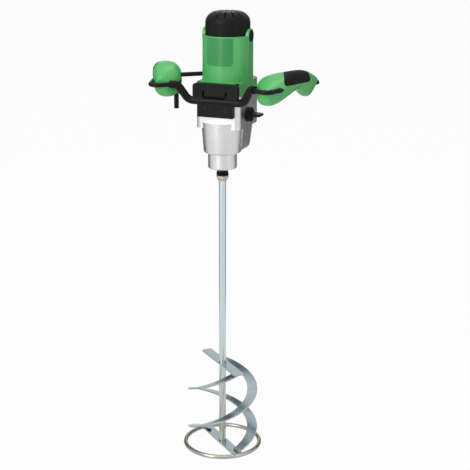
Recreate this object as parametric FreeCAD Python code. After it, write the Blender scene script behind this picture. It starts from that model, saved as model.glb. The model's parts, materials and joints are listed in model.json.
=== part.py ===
import FreeCAD, Part
import math
import os

# Two-handed mixing drill standing on its stirring paddle.
# Millimetres, +Z up, the spindle axis is X = Y = 0, the floor is Z = 0 and the front faces -Y.

V = FreeCAD.Vector
UP = V(0, 0, 1)
os.makedirs("parts", exist_ok=True)

# Fits
press = 0.02
running = 0.05
gap = 0.3
loose = 0.5
# A cutting tool runs past the face it cuts by this much
past = 1.0

# Paddle
ring_outer_d = 160.0
ring_wire_d = 8.5
ring_flat = 0.5
bar_width = 20.0
bar_thickness = 4.0
bar_angle = -42.0
top_bar_length = 150.0
top_bar_foot = 176.0
blade_width = 20.0
blade_thickness = 3.0
blade_ring_gap = 0.6
blade_steps = 24
stirrer_shaft_d = 14.0
paddle_length = 575.0
collar_across = 22.0
collar_height = 11.0
collar_cone = 6.0
collar_lip = 1.5
collar_bore_depth = 12.0
collar_chamfer = 3.0
stud_d = 14.0
stud_length = 20.0
stud_space = 2.0

# Gear case
spindle_show = 8.0
nose_d = 56.0
nose_height = 31.0
nose_round = 3.5
barrel_foot_d = 72.0
barrel_top_d = 82.0
barrel_height = 62.0
barrel_round = 5.0
case_wall = 4.0
case_corner = 16.0
case_floor = 8.0
block_half = 44.5
block_front = -28.0
block_back = 78.0
block_round = 11.0
block_drop = 12.0
block_height = 64.0
back_half = 42.0
back_front = -16.0
back_rear = 72.0
back_round = 24.0
back_draft = 5.0
back_foot_round = 14.0
back_wall_extra = 2.0
inner_cover_thickness = 8.0
inner_cover_ledge = 6.0
cover_thickness = 8.0
cover_ledge = 2.0

# Gear train
motor_y = 27.0
motor_teeth = 7
first_teeth = 44
first_module = 0.8
low_pinion_teeth = 13
low_teeth = 47
high_pinion_teeth = 20
high_teeth = 40
speed_module = 1.25
tooth_addendum = 0.8
tooth_dedendum = 1.15
tooth_backlash = 0.12
pressure_angle = 20.0
first_width = 10.0
speed_width = 12.0
pinion_extra = 1.0
motor_pinion_length = 22.0
first_gear_lift = 10.0
motor_pinion_drop = 4.0
low_gear_lift = 3.0
speed_gap = 20.0
clutch_seat_depth = 3.0
clutch_r = 17.0
clutch_nose_r = 14.0
clutch_flare = 2.0
clutch_ease = 0.2
clutch_groove_r = 13.0
clutch_groove_width = 3.0

# Shafts and bearings
spindle_r = 11.0
spindle_mid_r = 10.0
spindle_top_r = 8.5
spindle_step_drop = 4.0
spindle_bearing_r = 23.5
spindle_bearing_width = 14.0
spindle_top_bearing_r = 17.5
seal_r = 18.0
seal_width = 8.0
seal_lift = 2.0
seal_lip = 3.0
seal_lip_step = 2.0
lay_shaft_r = 5.0
lay_journal_r = 4.0
lay_bush_r = 7.0
lay_bush_width = 7.0
lay_boss_r = 10.0
lay_boss_drop = 8.0
lay_end_play = 1.0
lay_shaft_clear = 3.0

# Speed selector
selector_y = 18.0
selector_lift = 12.0
selector_shaft_r = 5.0
selector_throw = 5.0
selector_swing = 90.0
crank_r = 8.0
crank_thickness = 3.0
crank_pin_r = 2.0
crank_pin_length = 5.0
crank_slot_play = 0.3
crank_clear = 2.0
knob_d = 28.0
knob_thickness = 9.0
knob_round = 2.0
knob_fin_round = 1.8
knob_fin_length = 20.0
knob_fin_width = 20.0
knob_fin_foot = 8.0
knob_fin_tip = 4.5
fork_x = 27.0
fork_rod_r = 3.0
fork_rod_short = 4.0
fork_guide_wall = 2.5
fork_guide_drop = 10.0
fork_guide_roof = 2.0
fork_jaw = 3.0
fork_jaw_back = 4.0
fork_rod_below = 1.0
fork_yoke_r = 20.0
fork_yoke_thickness = 2.4
fork_arm_width = 7.0

# Motor
flange_height = 24.0
flange_overhang = 1.0
flange_round = 14.0
housing_top_r = 47.5
housing_foot_r = 49.5
housing_wall = 4.0
housing_height = 109.0
side_flat_half = 13.0
side_flat_reach = 47.0
brush_lug_r = 14.0
brush_lug_reach = 47.3
brush_bore_r = 8.8
brush_drop = 1.0
brush_tube_clear = 3.0
brush_slot_half = 0.9
brush_slot_length = 14.0
brush_cap_r = 10.5
brush_cap_thickness = 1.2
brush_plug_length = 3.0
brush_tube_width = 10.0
brush_tube_height = 14.0
brush_tube_wall = 1.9
brush_length = 16.0
brush_spring_r = 2.8
brush_spring_wire = 0.7
ear_inset = 6.5
ear_screw_r = 2.5
ear_screw_head_r = 4.2
ear_screw_head = 4.0
ear_screw_reach = 12.0
cap_r = 43.0
cap_wall = 3.0
cap_height = 43.5
cap_lap = 1.0
cap_round = 22.0
cap_slot_count = 14
cap_slot_width = 2.6
cap_slot_drop = 2.0
cap_slot_inner = 14.0
cap_slot_outer = 38.0
cap_hub_wall = 4.0
stator_r = 43.8
stator_bore_r = 27.0
stator_lift = 36.0
stator_height = 46.0
coil_height = 10.0
coil_inset = 5.0
coil_step = 2.0
core_short = 1.0
armature_core_r = 26.2
motor_shaft_r = 5.0
commutator_r = 16.0
commutator_height = 20.0
motor_bearing_r = 13.0
top_bearing_r = 11.0
top_bearing_width = 8.0
top_journal_r = 4.0
top_bearing_lift = 17.0
fan_r = 39.0
fan_lift = 8.0
fan_height = 12.0
fan_hub_r = 12.0
fan_plate = 2.0
fan_blade = 2.0
fan_blade_short = 1.0
fan_blade_count = 14

# Carrying frame
tube_d = 15.0
tube_wall = 2.5
tube_y = -33.0
tube_drop = 10.5
tube_bend = 16.0
tube_straight_half = 56.0
arm_top_x = 74.0
arm_top_y = -44.0
arm_end_x = 85.0
rod_d = 9.0
rod_bend = 14.0
rod_socket = 5.5
handle_corner_x = 116.0
handle_corner_y = -80.1
handle_turn = 17.0
handle_lift = 20.0
rod_length = 165.0
front_block_half = 45.0
front_block_depth = 12.0
front_block_round = 7.0
front_block_arch_half = 21.0
front_block_arch_rise = 4.0
front_block_arch_depth = 6.0
front_block_notch = 5.5
front_block_notch_height = 12.0
front_block_notch_x = 23.0
plate_half = 36.0
plate_thickness = 12.0
plate_lift = 12.0
plate_screw_x = 21.0
plate_screw_drop = 6.0
screw_r = 2.5
screw_head_r = 5.0
screw_head = 4.0
screw_socket_r = 2.4
screw_socket_depth = 2.4
screw_reach = 4.0

# Handles: place along the grip, inner side, outer side, then underside and top measured from the rod
left_sections = (
    (23.6, -33.0, -11.0, -17.0, 8.0),
    (31.5, -44.0, -7.0, -25.0, 22.0),
    (48.0, -56.0, -1.0, -26.0, 36.0),
    (69.0, -46.0, 3.0, -18.0, 37.0),
    (88.0, -30.0, 5.0, -9.0, 31.0),
    (108.0, -24.0, 7.0, -8.0, 29.0),
    (129.0, -22.0, 9.0, -23.0, 26.0),
    (148.0, -20.0, 7.0, -13.0, 18.0),
    (160.0, -12.0, 4.0, -3.0, 9.0),
)
right_sections = (
    (23.6, -32.0, -8.0, -20.0, 2.0),
    (31.5, -43.0, -3.6, -29.0, 9.0),
    (48.0, -55.0, 4.0, -28.0, 20.0),
    (69.0, -44.0, 8.0, -18.0, 27.0),
    (88.0, -29.0, 9.0, -9.0, 29.0),
    (108.0, -24.0, 9.0, -8.0, 29.0),
    (129.0, -22.0, 9.0, -23.0, 26.0),
    (148.0, -20.0, 7.0, -13.0, 18.0),
    (160.0, -12.0, 4.0, -3.0, 9.0),
)
side_reach = 100.0
handle_squareness = 2.5
handle_points = 16
handle_wall = 3.2
insert_depth = 2.0
insert_from = 57.0
insert_to = 129.0
insert_slant = 1.2
insert_reach = 40.0
insert_lift = 7.0
insert_round = 6.0
grip_screw_r = 3.5
grip_screw_depth = 2.6
grip_screw_sink = 1.2
grip_screw_places = ((42.0, 2.0), (79.0, 3.0), (140.0, 1.0))

# Switch in the left handle
trigger_across = -11.8
trigger_from = 98.0
trigger_to = 114.0
trigger_sweep = 5.5
trigger_slot_rise = 3.0
trigger_relief = 2.0
trigger_lap = 1.0
trigger_arm_lap = 6.0
trigger_half = 6.0
trigger_cheek = 2.0
trigger_drop = 13.5
trigger_floor = 2.6
trigger_pivot_along = 95.0
trigger_pivot_lift = 9.0
trigger_pin_r = 1.5
trigger_eye_r = 3.6
switch_from = 101.0
switch_to = 122.0
switch_half = 30.0
switch_lift = 12.5
switch_height = 11.0
lock_along = 134.2
lock_lift = 10.0
lock_r = 4.5
lock_show = 2.5
lock_stem = 5.0
gland_along = 50.0
gland_across = -45.0
gland_r = 4.6
gland_bore_r = 3.6
gland_drop = 51.0
lead_r = 4.2
lead_lift = 14.0
lead_along = 48.0
lead_motor_angle = 200.0
lead_entry = 0.5

# Heights worked out from the sizes above
nose_foot = paddle_length + spindle_show
barrel_foot = nose_foot + nose_height
barrel_top = barrel_foot + barrel_height
block_foot = barrel_top - block_drop
block_top = block_foot + block_height
flange_top = block_top + flange_height
housing_top = block_top + housing_height
brush_z = housing_top - brush_drop
cap_top = housing_top + cap_height
case_inside = barrel_foot + case_floor
low_foot = case_inside + low_gear_lift
high_foot = low_foot + speed_width + speed_gap
inner_cover_top = barrel_top + inner_cover_thickness
cover_foot = block_top - cover_thickness
shift_travel = 2 * selector_throw * math.sin(math.radians(selector_swing / 2))
first_gear_foot = inner_cover_top + first_gear_lift
selector_z = barrel_top + selector_lift
fork_rod_top = cover_foot - fork_rod_short
plate_foot = barrel_top + plate_lift
tube_z = block_top - tube_drop
plate_screw_z = tube_z - tube_d / 2 - plate_screw_drop
handle_z = block_top + handle_lift
insert_foot = handle_z + insert_lift
trigger_foot = handle_z - trigger_drop
trigger_pivot_z = handle_z + trigger_pivot_lift
switch_foot = handle_z + switch_lift
lock_z = handle_z + lock_lift
gland_foot = handle_z - gland_drop
lead_z = handle_z + lead_lift

# Gear centres: the lay shaft stands off the motor axis and off the spindle by the sums of their teeth
first_centres = first_module * (motor_teeth + first_teeth) / 2
speed_centres = speed_module * (low_pinion_teeth + low_teeth) / 2
lay_y = (speed_centres ** 2 - first_centres ** 2 + motor_y ** 2) / (2 * motor_y)
lay_x = -math.sqrt(speed_centres ** 2 - lay_y ** 2)
motor_axis = (0.0, motor_y)
spindle_axis = (0.0, 0.0)
lay_axis = (lay_x, lay_y)


def post(radius, foot, top, axis=spindle_axis):
    return Part.makeCylinder(radius, top - foot, V(axis[0], axis[1], foot), UP)


def sleeve(inner, outer, foot, top, axis=spindle_axis):
    return post(outer, foot, top, axis).cut(post(inner, foot - past, top + past, axis))


def taper(r_foot, r_top, foot, top, axis=spindle_axis):
    return Part.makeCone(r_foot, r_top, top - foot, V(axis[0], axis[1], foot), UP)


def block(x0, x1, y0, y1, z0, z1):
    return Part.makeBox(x1 - x0, y1 - y0, z1 - z0, V(x0, y0, z0))


def cross_rod(radius, x0, x1, y, z):
    return Part.makeCylinder(radius, x1 - x0, V(x0, y, z), V(1, 0, 0))


def rounded_wire(x0, x1, y0, y1, radius, z):
    r = min(radius, (x1 - x0) / 2 - 0.01, (y1 - y0) / 2 - 0.01)
    bend = r * (1 - math.sqrt(0.5))
    runs = [
        (V(x0 + r, y0, z), V(x1 - r, y0, z), V(x1 - bend, y0 + bend, z), V(x1, y0 + r, z)),
        (V(x1, y0 + r, z), V(x1, y1 - r, z), V(x1 - bend, y1 - bend, z), V(x1 - r, y1, z)),
        (V(x1 - r, y1, z), V(x0 + r, y1, z), V(x0 + bend, y1 - bend, z), V(x0, y1 - r, z)),
        (V(x0, y1 - r, z), V(x0, y0 + r, z), V(x0 + bend, y0 + bend, z), V(x0 + r, y0, z)),
    ]
    edges = []
    for start, turn, middle, end in runs:
        edges.append(Part.LineSegment(start, turn).toShape())
        edges.append(Part.Arc(turn, middle, end).toShape())
    return Part.Wire(edges)


def rounded_block(x0, x1, y0, y1, z0, z1, radius):
    return Part.Face(rounded_wire(x0, x1, y0, y1, radius, z0)).extrude(V(0, 0, z1 - z0))


def bent_path(points, radius):
    edges = []
    start = points[0]
    for before, corner, after in zip(points, points[1:], points[2:]):
        a = (before - corner).normalize()
        b = (after - corner).normalize()
        half = a.getAngle(b) / 2
        middle_way = (a + b).normalize()
        first = corner + a * (radius / math.tan(half))
        last = corner + b * (radius / math.tan(half))
        middle = corner + middle_way * (radius / math.sin(half) - radius)
        edges.append(Part.LineSegment(start, first).toShape())
        edges.append(Part.Arc(first, middle, last).toShape())
        start = last
    edges.append(Part.LineSegment(start, points[-1]).toShape())
    return Part.Wire(edges)


def round_bar(path, radius):
    first = path.Edges[0]
    start = first.valueAt(first.FirstParameter)
    along = first.tangentAt(first.FirstParameter)
    ring = Part.Wire([Part.makeCircle(radius, start, along)])
    return path.makePipeShell([ring], True, False)


def involute(angle):
    return math.tan(angle) - angle


def gear(teeth, module, width, bore, axis, foot, tooth_way):
    pitch_r = module * teeth / 2
    base_r = pitch_r * math.cos(math.radians(pressure_angle))
    root_r = pitch_r - tooth_dedendum * module
    tip_r = pitch_r + tooth_addendum * module
    pitch_half = (math.pi / 2 - tooth_backlash) / teeth
    flank = []
    for r in (root_r, pitch_r, tip_r):
        lean = involute(math.acos(min(1.0, base_r / max(r, base_r))))
        flank.append((r, pitch_half + involute(math.radians(pressure_angle)) - lean))
    points = []
    for number in range(teeth):
        middle = tooth_way + 2 * math.pi * number / teeth
        for r, half in flank:
            points.append((r, middle - half))
        for r, half in reversed(flank):
            points.append((r, middle + half))
    corners = [V(axis[0] + r * math.cos(a), axis[1] + r * math.sin(a), foot) for r, a in points]
    blank = Part.Face(Part.makePolygon(corners + corners[:1])).extrude(V(0, 0, width))
    if bore:
        blank = blank.cut(post(bore, foot - past, foot + width + past, axis))
    return blank


def way(start, end):
    return math.atan2(end[1] - start[1], end[0] - start[0])


def save(name, shape):
    if len(shape.Solids) == 1:
        shape = shape.Solids[0]
    shape.exportStep("parts/" + name + ".step")


def save_group(name, shapes):
    Part.makeCompound(shapes).exportStep("parts/" + name + ".step")


# Paddle

ring_middle_r = (ring_outer_d - ring_wire_d) / 2
ring_z = ring_wire_d / 2 - ring_flat
blade_outer = ring_middle_r - ring_wire_d / 2 - blade_ring_gap
blade_inner = blade_outer - blade_width
low_bar_foot = ring_z - bar_thickness / 2
low_bar_top = ring_z + bar_thickness / 2
shaft_r = stirrer_shaft_d / 2


def foot_ring():
    ring = Part.makeTorus(ring_middle_r, ring_wire_d / 2, V(0, 0, ring_z), UP)
    reach = ring_outer_d
    return ring.cut(block(-reach, reach, -reach, reach, -ring_wire_d, 0))


def flat_bar(length, foot):
    bar = block(-length / 2, length / 2, -bar_width / 2, bar_width / 2, foot, foot + bar_thickness)
    bar.rotate(V(0, 0, 0), UP, bar_angle)
    return bar


def low_bar(ring):
    return flat_bar(2 * ring_middle_r, low_bar_foot).cut(ring)


def top_bar():
    return flat_bar(top_bar_length, top_bar_foot).cut(post(shaft_r + press, 0, paddle_length))


def blade(turned):
    rise = top_bar_foot - blade_thickness - low_bar_top
    rings = []
    for step in range(blade_steps + 1):
        a = math.radians(bar_angle + turned) + 2 * math.pi * step / blade_steps
        foot = low_bar_top + rise * step / blade_steps
        inner = V(blade_inner * math.cos(a), blade_inner * math.sin(a), foot)
        outer = V(blade_outer * math.cos(a), blade_outer * math.sin(a), foot)
        up = V(0, 0, blade_thickness)
        rings.append(Part.makePolygon([inner, outer, outer + up, inner + up, inner]))
    return Part.makeLoft(rings, True, False)


def stirrer_shaft():
    return post(shaft_r, low_bar_top, paddle_length - collar_height - collar_cone + collar_bore_depth)


def paddle_collar():
    cone_foot = paddle_length - collar_height - collar_cone
    corner_r = collar_across / 2 / math.cos(math.pi / 6)
    hex_foot = paddle_length - collar_height
    corners = [V(corner_r * math.cos(k * math.pi / 3), corner_r * math.sin(k * math.pi / 3), hex_foot)
               for k in range(7)]
    body = Part.Face(Part.makePolygon(corners)).extrude(V(0, 0, collar_height))
    chamfer_foot = paddle_length - collar_chamfer
    chamfer = taper(corner_r + past, corner_r + past - collar_chamfer, chamfer_foot, paddle_length)
    body = body.common(post(corner_r + past, hex_foot, chamfer_foot).fuse(chamfer))
    cone = taper(shaft_r + collar_lip, collar_across / 2, cone_foot, hex_foot)
    stud = post(stud_d / 2 - running, paddle_length, paddle_length + stud_length)
    body = body.fuse(cone).fuse(stud)
    bore = post(shaft_r + press, cone_foot - past, cone_foot + collar_bore_depth + press)
    return body.cut(bore).removeSplitter()


ring = foot_ring()
save("foot_ring", ring)
save("bottom_bar", low_bar(ring))
save("top_bar", top_bar())
save("mixing_blade_left", blade(180))
save("mixing_blade_right", blade(0))
save("stirrer_shaft", stirrer_shaft())
save("paddle_collar", paddle_collar())


# Gear case

def back_body(inset, foot, top):
    draft = back_draft
    low = rounded_wire(-back_half + inset + draft, back_half - inset - draft, back_front + inset,
                       back_rear - inset - draft, back_round - inset, foot)
    high = rounded_wire(-back_half + inset, back_half - inset, back_front + inset,
                        back_rear - inset, back_round - inset, top)
    return Part.makeLoft([low, high], True, True)


def foot_edges(shape, z):
    return [e for e in shape.Edges if abs(e.BoundBox.ZMin - z) < 0.01 and abs(e.BoundBox.ZMax - z) < 0.01]


def case_outside():
    body = rounded_block(-block_half, block_half, block_front, block_back, block_foot, block_top, block_round)
    barrel = taper(barrel_foot_d / 2, barrel_top_d / 2, barrel_foot, barrel_top)
    barrel = barrel.makeFillet(barrel_round, foot_edges(barrel, barrel_foot))
    back = back_body(0.0, barrel_foot, block_foot + past)
    back = back.makeFillet(back_foot_round, foot_edges(back, barrel_foot))
    nose = post(nose_d / 2, nose_foot, barrel_foot + barrel_round)
    nose = nose.makeFillet(nose_round, foot_edges(nose, nose_foot))
    return body.fuse([barrel, back, nose])


seal_foot = nose_foot + seal_lift
bearing_foot = seal_foot + seal_width + seal_lip


def case_inside_space():
    roof = barrel_top - case_wall
    lean = (barrel_top_d - barrel_foot_d) / 2 / barrel_height
    r_foot = barrel_foot_d / 2 + case_floor * lean - case_wall
    r_roof = barrel_top_d / 2 - case_wall * lean - case_wall
    barrel = taper(r_foot, r_roof, case_inside, roof)
    back = back_body(case_wall + back_wall_extra, case_inside, roof)
    x = block_half - case_wall
    y0 = block_front + case_wall
    y1 = block_back - case_wall
    r = case_corner
    upper = rounded_block(-x + cover_ledge, x - cover_ledge, y0 + cover_ledge, y1 - cover_ledge,
                          barrel_top, block_top, r)
    mouth = rounded_block(-x, x, y0, y1, cover_foot, block_top + past, r)
    step = inner_cover_ledge + cover_ledge
    throat = rounded_block(-x + step, x - step, y0 + step, y1 - step, roof - past, barrel_top + past, r)
    bearing = post(spindle_bearing_r + press, bearing_foot, case_inside + past)
    seal = post(seal_r + press, nose_foot - past, seal_foot + seal_width)
    lip = post(seal_r - seal_lip_step, seal_foot + seal_width - past, bearing_foot + past)
    bush = post(lay_bush_r + press, case_inside - lay_bush_width, case_inside + past, lay_axis)
    knob = cross_rod(selector_shaft_r + running, 0, block_half + past, selector_y, selector_z)
    return barrel.fuse([back, upper, mouth, throat, bearing, seal, lip, bush, knob])


def plate_holes():
    holes = []
    for x in (-plate_screw_x, plate_screw_x):
        face = V(x, block_front, plate_screw_z)
        holes.append(Part.makeCylinder(screw_r + press, screw_reach, face, V(0, 1, 0)))
    return holes


tube_bed_r = tube_d / 2 + gap


def tube_bed():
    return cross_rod(tube_bed_r, -tube_straight_half, tube_straight_half, tube_y, tube_z)


def ear_places():
    x = block_half - ear_inset
    return [(-x, block_front + ear_inset), (x, block_front + ear_inset),
            (-x, block_back - ear_inset), (x, block_back - ear_inset)]


def gear_case():
    case = case_outside().cut(case_inside_space())
    case = case.cut(plate_holes() + [tube_bed()])
    hole_foot = block_top - ear_screw_reach
    holes = [post(ear_screw_r + press, hole_foot, block_top + past, p) for p in ear_places()]
    return case.cut(holes).removeSplitter()


def inner_cover():
    x = block_half - case_wall - cover_ledge - gap
    y0 = block_front + case_wall + cover_ledge + gap
    y1 = block_back - case_wall - cover_ledge - gap
    plate = rounded_block(-x, x, y0, y1, barrel_top, inner_cover_top, case_corner)
    pin_low = selector_z - shift_travel / 2
    pocket_foot = pin_low - crank_pin_r - crank_slot_play - fork_jaw - loose
    pocket_half = crank_r + crank_clear
    pocket = block(fork_x - fork_rod_r - crank_clear, x + past, selector_y - pocket_half,
                   selector_y + pocket_half, pocket_foot, inner_cover_top + past)
    holes = [
        post(spindle_top_bearing_r + press, barrel_top - past, inner_cover_top + past),
        post(lay_shaft_r + lay_shaft_clear, barrel_top - past, inner_cover_top + past, lay_axis),
        post(fork_rod_r + running, barrel_top - past, inner_cover_top + past, (fork_x, selector_y)),
        pocket,
    ]
    return plate.cut(holes)


def gear_cover():
    x = block_half - case_wall - running
    y0 = block_front + case_wall + running
    y1 = block_back - case_wall - running
    plate = rounded_block(-x, x, y0, y1, cover_foot, block_top, case_corner)
    boss = post(lay_boss_r, cover_foot - lay_boss_drop, cover_foot, lay_axis)
    guide_foot = cover_foot - fork_guide_drop
    guide = post(fork_rod_r + fork_guide_wall, guide_foot, cover_foot, (fork_x, selector_y))
    plate = plate.fuse([boss, guide])
    holes = [
        post(motor_bearing_r + press, cover_foot - past, block_top + past, motor_axis),
        post(lay_bush_r + press, cover_foot - lay_boss_drop - past, cover_foot, lay_axis),
        post(fork_rod_r + running, guide_foot - past, block_top - fork_guide_roof, (fork_x, selector_y)),
    ]
    return plate.cut(holes)


save("gear_case", gear_case())
save("inner_cover", inner_cover())
save("gear_cover", gear_cover())


# Spindle and its bearings

def spindle():
    foot = paddle_length
    body = post(spindle_r, foot, bearing_foot)
    body = body.fuse(post(spindle_mid_r, bearing_foot, barrel_top - spindle_step_drop))
    body = body.fuse(post(spindle_top_r, barrel_top - spindle_step_drop, inner_cover_top))
    return body.cut(post(stud_d / 2, foot - past, foot + stud_length + stud_space)).removeSplitter()


save("spindle", spindle())
bearing_top = bearing_foot + spindle_bearing_width
save("spindle_bearing", sleeve(spindle_mid_r + running, spindle_bearing_r, bearing_foot, bearing_top))
save("spindle_upper_bearing",
     sleeve(spindle_top_r + running, spindle_top_bearing_r, barrel_top, inner_cover_top))
save("oil_seal", sleeve(spindle_r + running, seal_r, seal_foot, seal_foot + seal_width))


# Gears

clutch_foot = low_foot + speed_width - clutch_seat_depth + gap
clutch_length = speed_gap + 2 * (clutch_seat_depth - gap) - shift_travel
clutch_top = clutch_foot + clutch_length
groove_foot = clutch_foot + clutch_length / 2 - clutch_groove_width / 2


def clutch_seat(foot, top, flare):
    narrow = clutch_nose_r + gap
    wide = narrow + clutch_flare
    return taper(narrow, wide, foot, top) if flare else taper(wide, narrow, foot, top)


def low_gear():
    wheel = gear(low_teeth, speed_module, speed_width, spindle_mid_r + press, spindle_axis, low_foot,
                 way(spindle_axis, lay_axis) + math.pi / low_teeth)
    top = low_foot + speed_width
    return wheel.cut(clutch_seat(top - clutch_seat_depth, top, True))


def high_gear():
    wheel = gear(high_teeth, speed_module, speed_width, spindle_mid_r + running, spindle_axis, high_foot,
                 way(spindle_axis, lay_axis) + math.pi / high_teeth)
    return wheel.cut(clutch_seat(high_foot, high_foot + clutch_seat_depth, False))


def clutch_sleeve():
    end = clutch_seat_depth
    body = post(clutch_r, clutch_foot + end, clutch_top - end)
    narrow = clutch_nose_r - clutch_ease
    wide = clutch_nose_r + clutch_flare - 2 * clutch_ease
    body = body.fuse(taper(narrow, wide, clutch_foot, clutch_foot + end))
    body = body.fuse(taper(wide, narrow, clutch_top - end, clutch_top))
    groove = sleeve(clutch_groove_r, clutch_r + past, groove_foot, groove_foot + clutch_groove_width)
    return body.cut(groove).cut(post(spindle_mid_r + running, clutch_foot - past, clutch_top + past))


def lay_shaft():
    foot = case_inside - lay_bush_width + lay_end_play
    body = post(lay_journal_r, foot, cover_foot - lay_end_play, lay_axis)
    shoulder = cover_foot - lay_boss_drop - lay_end_play
    return body.fuse(post(lay_shaft_r, case_inside + lay_end_play, shoulder, lay_axis)).removeSplitter()


def lay_gear(teeth, module, width, foot, tooth_way):
    return gear(teeth, module, width, lay_shaft_r + press, lay_axis, foot, tooth_way)


save("low_speed_gear", low_gear())
save("high_speed_gear", high_gear())
save("clutch_sleeve", clutch_sleeve())
save("lay_shaft", lay_shaft())
toward_spindle = way(lay_axis, spindle_axis)
toward_motor = way(lay_axis, motor_axis)
pinion_width = speed_width + 2 * pinion_extra
save("low_speed_pinion",
     lay_gear(low_pinion_teeth, speed_module, pinion_width, low_foot - pinion_extra, toward_spindle))
save("high_speed_pinion",
     lay_gear(high_pinion_teeth, speed_module, pinion_width, high_foot - pinion_extra, toward_spindle))
save("first_gear",
     lay_gear(first_teeth, first_module, first_width, first_gear_foot, toward_motor + math.pi / first_teeth))
bush_feet = (case_inside - lay_bush_width, cover_foot - lay_bush_width)
bushes = []
for foot in bush_feet:
    bushes.append(sleeve(lay_journal_r + running, lay_bush_r, foot, foot + lay_bush_width, lay_axis))
save_group("lay_shaft_bushes", bushes)


# Speed selector

def turned_about_selector(shape):
    shape.rotate(V(0, selector_y, selector_z), V(1, 0, 0), -selector_swing / 2)
    return shape


def selector_knob():
    face = block_half + gap
    top = face + knob_thickness
    disc = cross_rod(knob_d / 2, face, top, selector_y, selector_z)
    rim = [e for e in disc.Edges if e.BoundBox.XMin > top - 0.01]
    disc = disc.makeFillet(knob_round, rim)
    outline = [
        V(top - knob_round, 0, -knob_fin_foot / 2),
        V(top + knob_fin_length, 0, -knob_fin_tip / 2),
        V(top + knob_fin_length, 0, knob_fin_tip / 2),
        V(top - knob_round, 0, knob_fin_foot / 2),
    ]
    fin = Part.Face(Part.makePolygon(outline + outline[:1])).extrude(V(0, knob_fin_width, 0))
    tips = [e for e in fin.Edges if e.BoundBox.XMin > top + knob_fin_length - 0.01]
    fin = fin.makeFillet(knob_fin_round, tips)
    fin.translate(V(0, selector_y - knob_fin_width / 2, selector_z))
    shaft = cross_rod(selector_shaft_r, crank_face, face + past, selector_y, selector_z)
    return disc.fuse([fin, shaft]).removeSplitter()


crank_face = block_half - case_wall - cover_ledge - gap


def selector_crank():
    disc = cross_rod(crank_r, crank_face - crank_thickness, crank_face, selector_y, selector_z)
    pin_from = crank_face - crank_thickness - crank_pin_length
    pin_y = selector_y + selector_throw
    pin = cross_rod(crank_pin_r, pin_from, crank_face - crank_thickness, pin_y, selector_z)
    return turned_about_selector(disc.fuse(pin).removeSplitter())


def shift_fork():
    pin_z = selector_z - shift_travel / 2
    slot_half = crank_pin_r + crank_slot_play
    x_end = crank_face - crank_thickness - gap
    y1 = selector_y + selector_throw + crank_pin_r + crank_clear
    jaw = block(fork_x - fork_rod_r, x_end, selector_y - fork_jaw_back, y1,
                pin_z - slot_half - fork_jaw, pin_z + slot_half + fork_jaw)
    slot = block(fork_x + fork_rod_r, x_end + past, selector_y - past, y1 + past,
                 pin_z - slot_half, pin_z + slot_half)
    rod = post(fork_rod_r, groove_foot - fork_rod_below, fork_rod_top, (fork_x, selector_y))
    yoke_foot = groove_foot + (clutch_groove_width - fork_yoke_thickness) / 2
    yoke_top = yoke_foot + fork_yoke_thickness
    reach = math.hypot(fork_x, selector_y)
    half_ring = sleeve(clutch_groove_r + loose, fork_yoke_r, yoke_foot, yoke_top)
    near_side = block(0, fork_yoke_r, -fork_yoke_r, fork_yoke_r, yoke_foot - past, yoke_top + past)
    half_ring = half_ring.common(near_side)
    arm = block(clutch_r + past, reach, -fork_arm_width / 2, fork_arm_width / 2, yoke_foot, yoke_top)
    yoke = half_ring.fuse(arm)
    yoke.rotate(V(0, 0, 0), UP, math.degrees(math.atan2(selector_y, fork_x)))
    return rod.fuse([jaw.cut(slot), yoke]).removeSplitter()


save("selector_knob", selector_knob())
save("selector_crank", selector_crank())
save("shift_fork", shift_fork())


# Motor

def around_motor(radius, foot, top):
    return post(radius, foot, top, motor_axis)


def housing_outside():
    half = block_half + flange_overhang
    flange = rounded_block(-half, half, block_front + flange_overhang, block_back, block_top, flange_top,
                           flange_round)
    barrel = taper(housing_foot_r, housing_top_r, block_top, housing_top, motor_axis)
    barrel = barrel.common(block(-side_flat_reach, side_flat_reach, motor_y - housing_foot_r - past,
                                 motor_y + housing_foot_r + past, block_top, housing_top))
    pads = block(-side_flat_reach, side_flat_reach, motor_y - side_flat_half, motor_y + side_flat_half,
                 block_top, brush_z)
    lugs = cross_rod(brush_lug_r, -brush_lug_reach, brush_lug_reach, motor_y, brush_z)
    return flange.fuse([barrel, pads, lugs])


def housing_space():
    space = taper(housing_foot_r - housing_wall, housing_top_r - housing_wall, block_top - past,
                  housing_top + past, motor_axis)
    mouth = around_motor(cap_r + gap, housing_top - cap_lap, housing_top + cap_height)
    brush = cross_rod(brush_bore_r, -brush_lug_reach - past, brush_lug_reach + past, motor_y, brush_z)
    return space.fuse([mouth, brush])


def lead_ends():
    angle = math.radians(lead_motor_angle)
    inside = housing_foot_r - housing_wall - lead_entry
    motor_end = V(inside * math.cos(angle), motor_y + inside * math.sin(angle), lead_z)
    handle_end = to_left(V(left_sections[2][1] + handle_wall + lead_entry, lead_along, lead_z))
    return handle_end, motor_end


def to_world(point):
    turn = math.radians(handle_turn)
    x = handle_corner_x + point.x * math.cos(turn) + point.y * math.sin(turn)
    y = handle_corner_y - point.x * math.sin(turn) + point.y * math.cos(turn)
    return V(x, y, point.z)


def to_left(point):
    right = to_world(point)
    return V(-right.x, right.y, right.z)


def straight_bar(start, end, radius):
    return Part.makeCylinder(radius, (end - start).Length, start, end - start)


def motor_housing():
    shell = housing_outside().cut(housing_space())
    screws = []
    for p in ear_places():
        screws.append(post(ear_screw_r + press, block_top - past, flange_top + past, p))
        screws.append(post(ear_screw_head_r + press, flange_top - ear_screw_head,
                           flange_top + past, p))
    start, end = lead_ends()
    return shell.cut(screws + [straight_bar(start, end, lead_r + press)]).removeSplitter()


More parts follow.
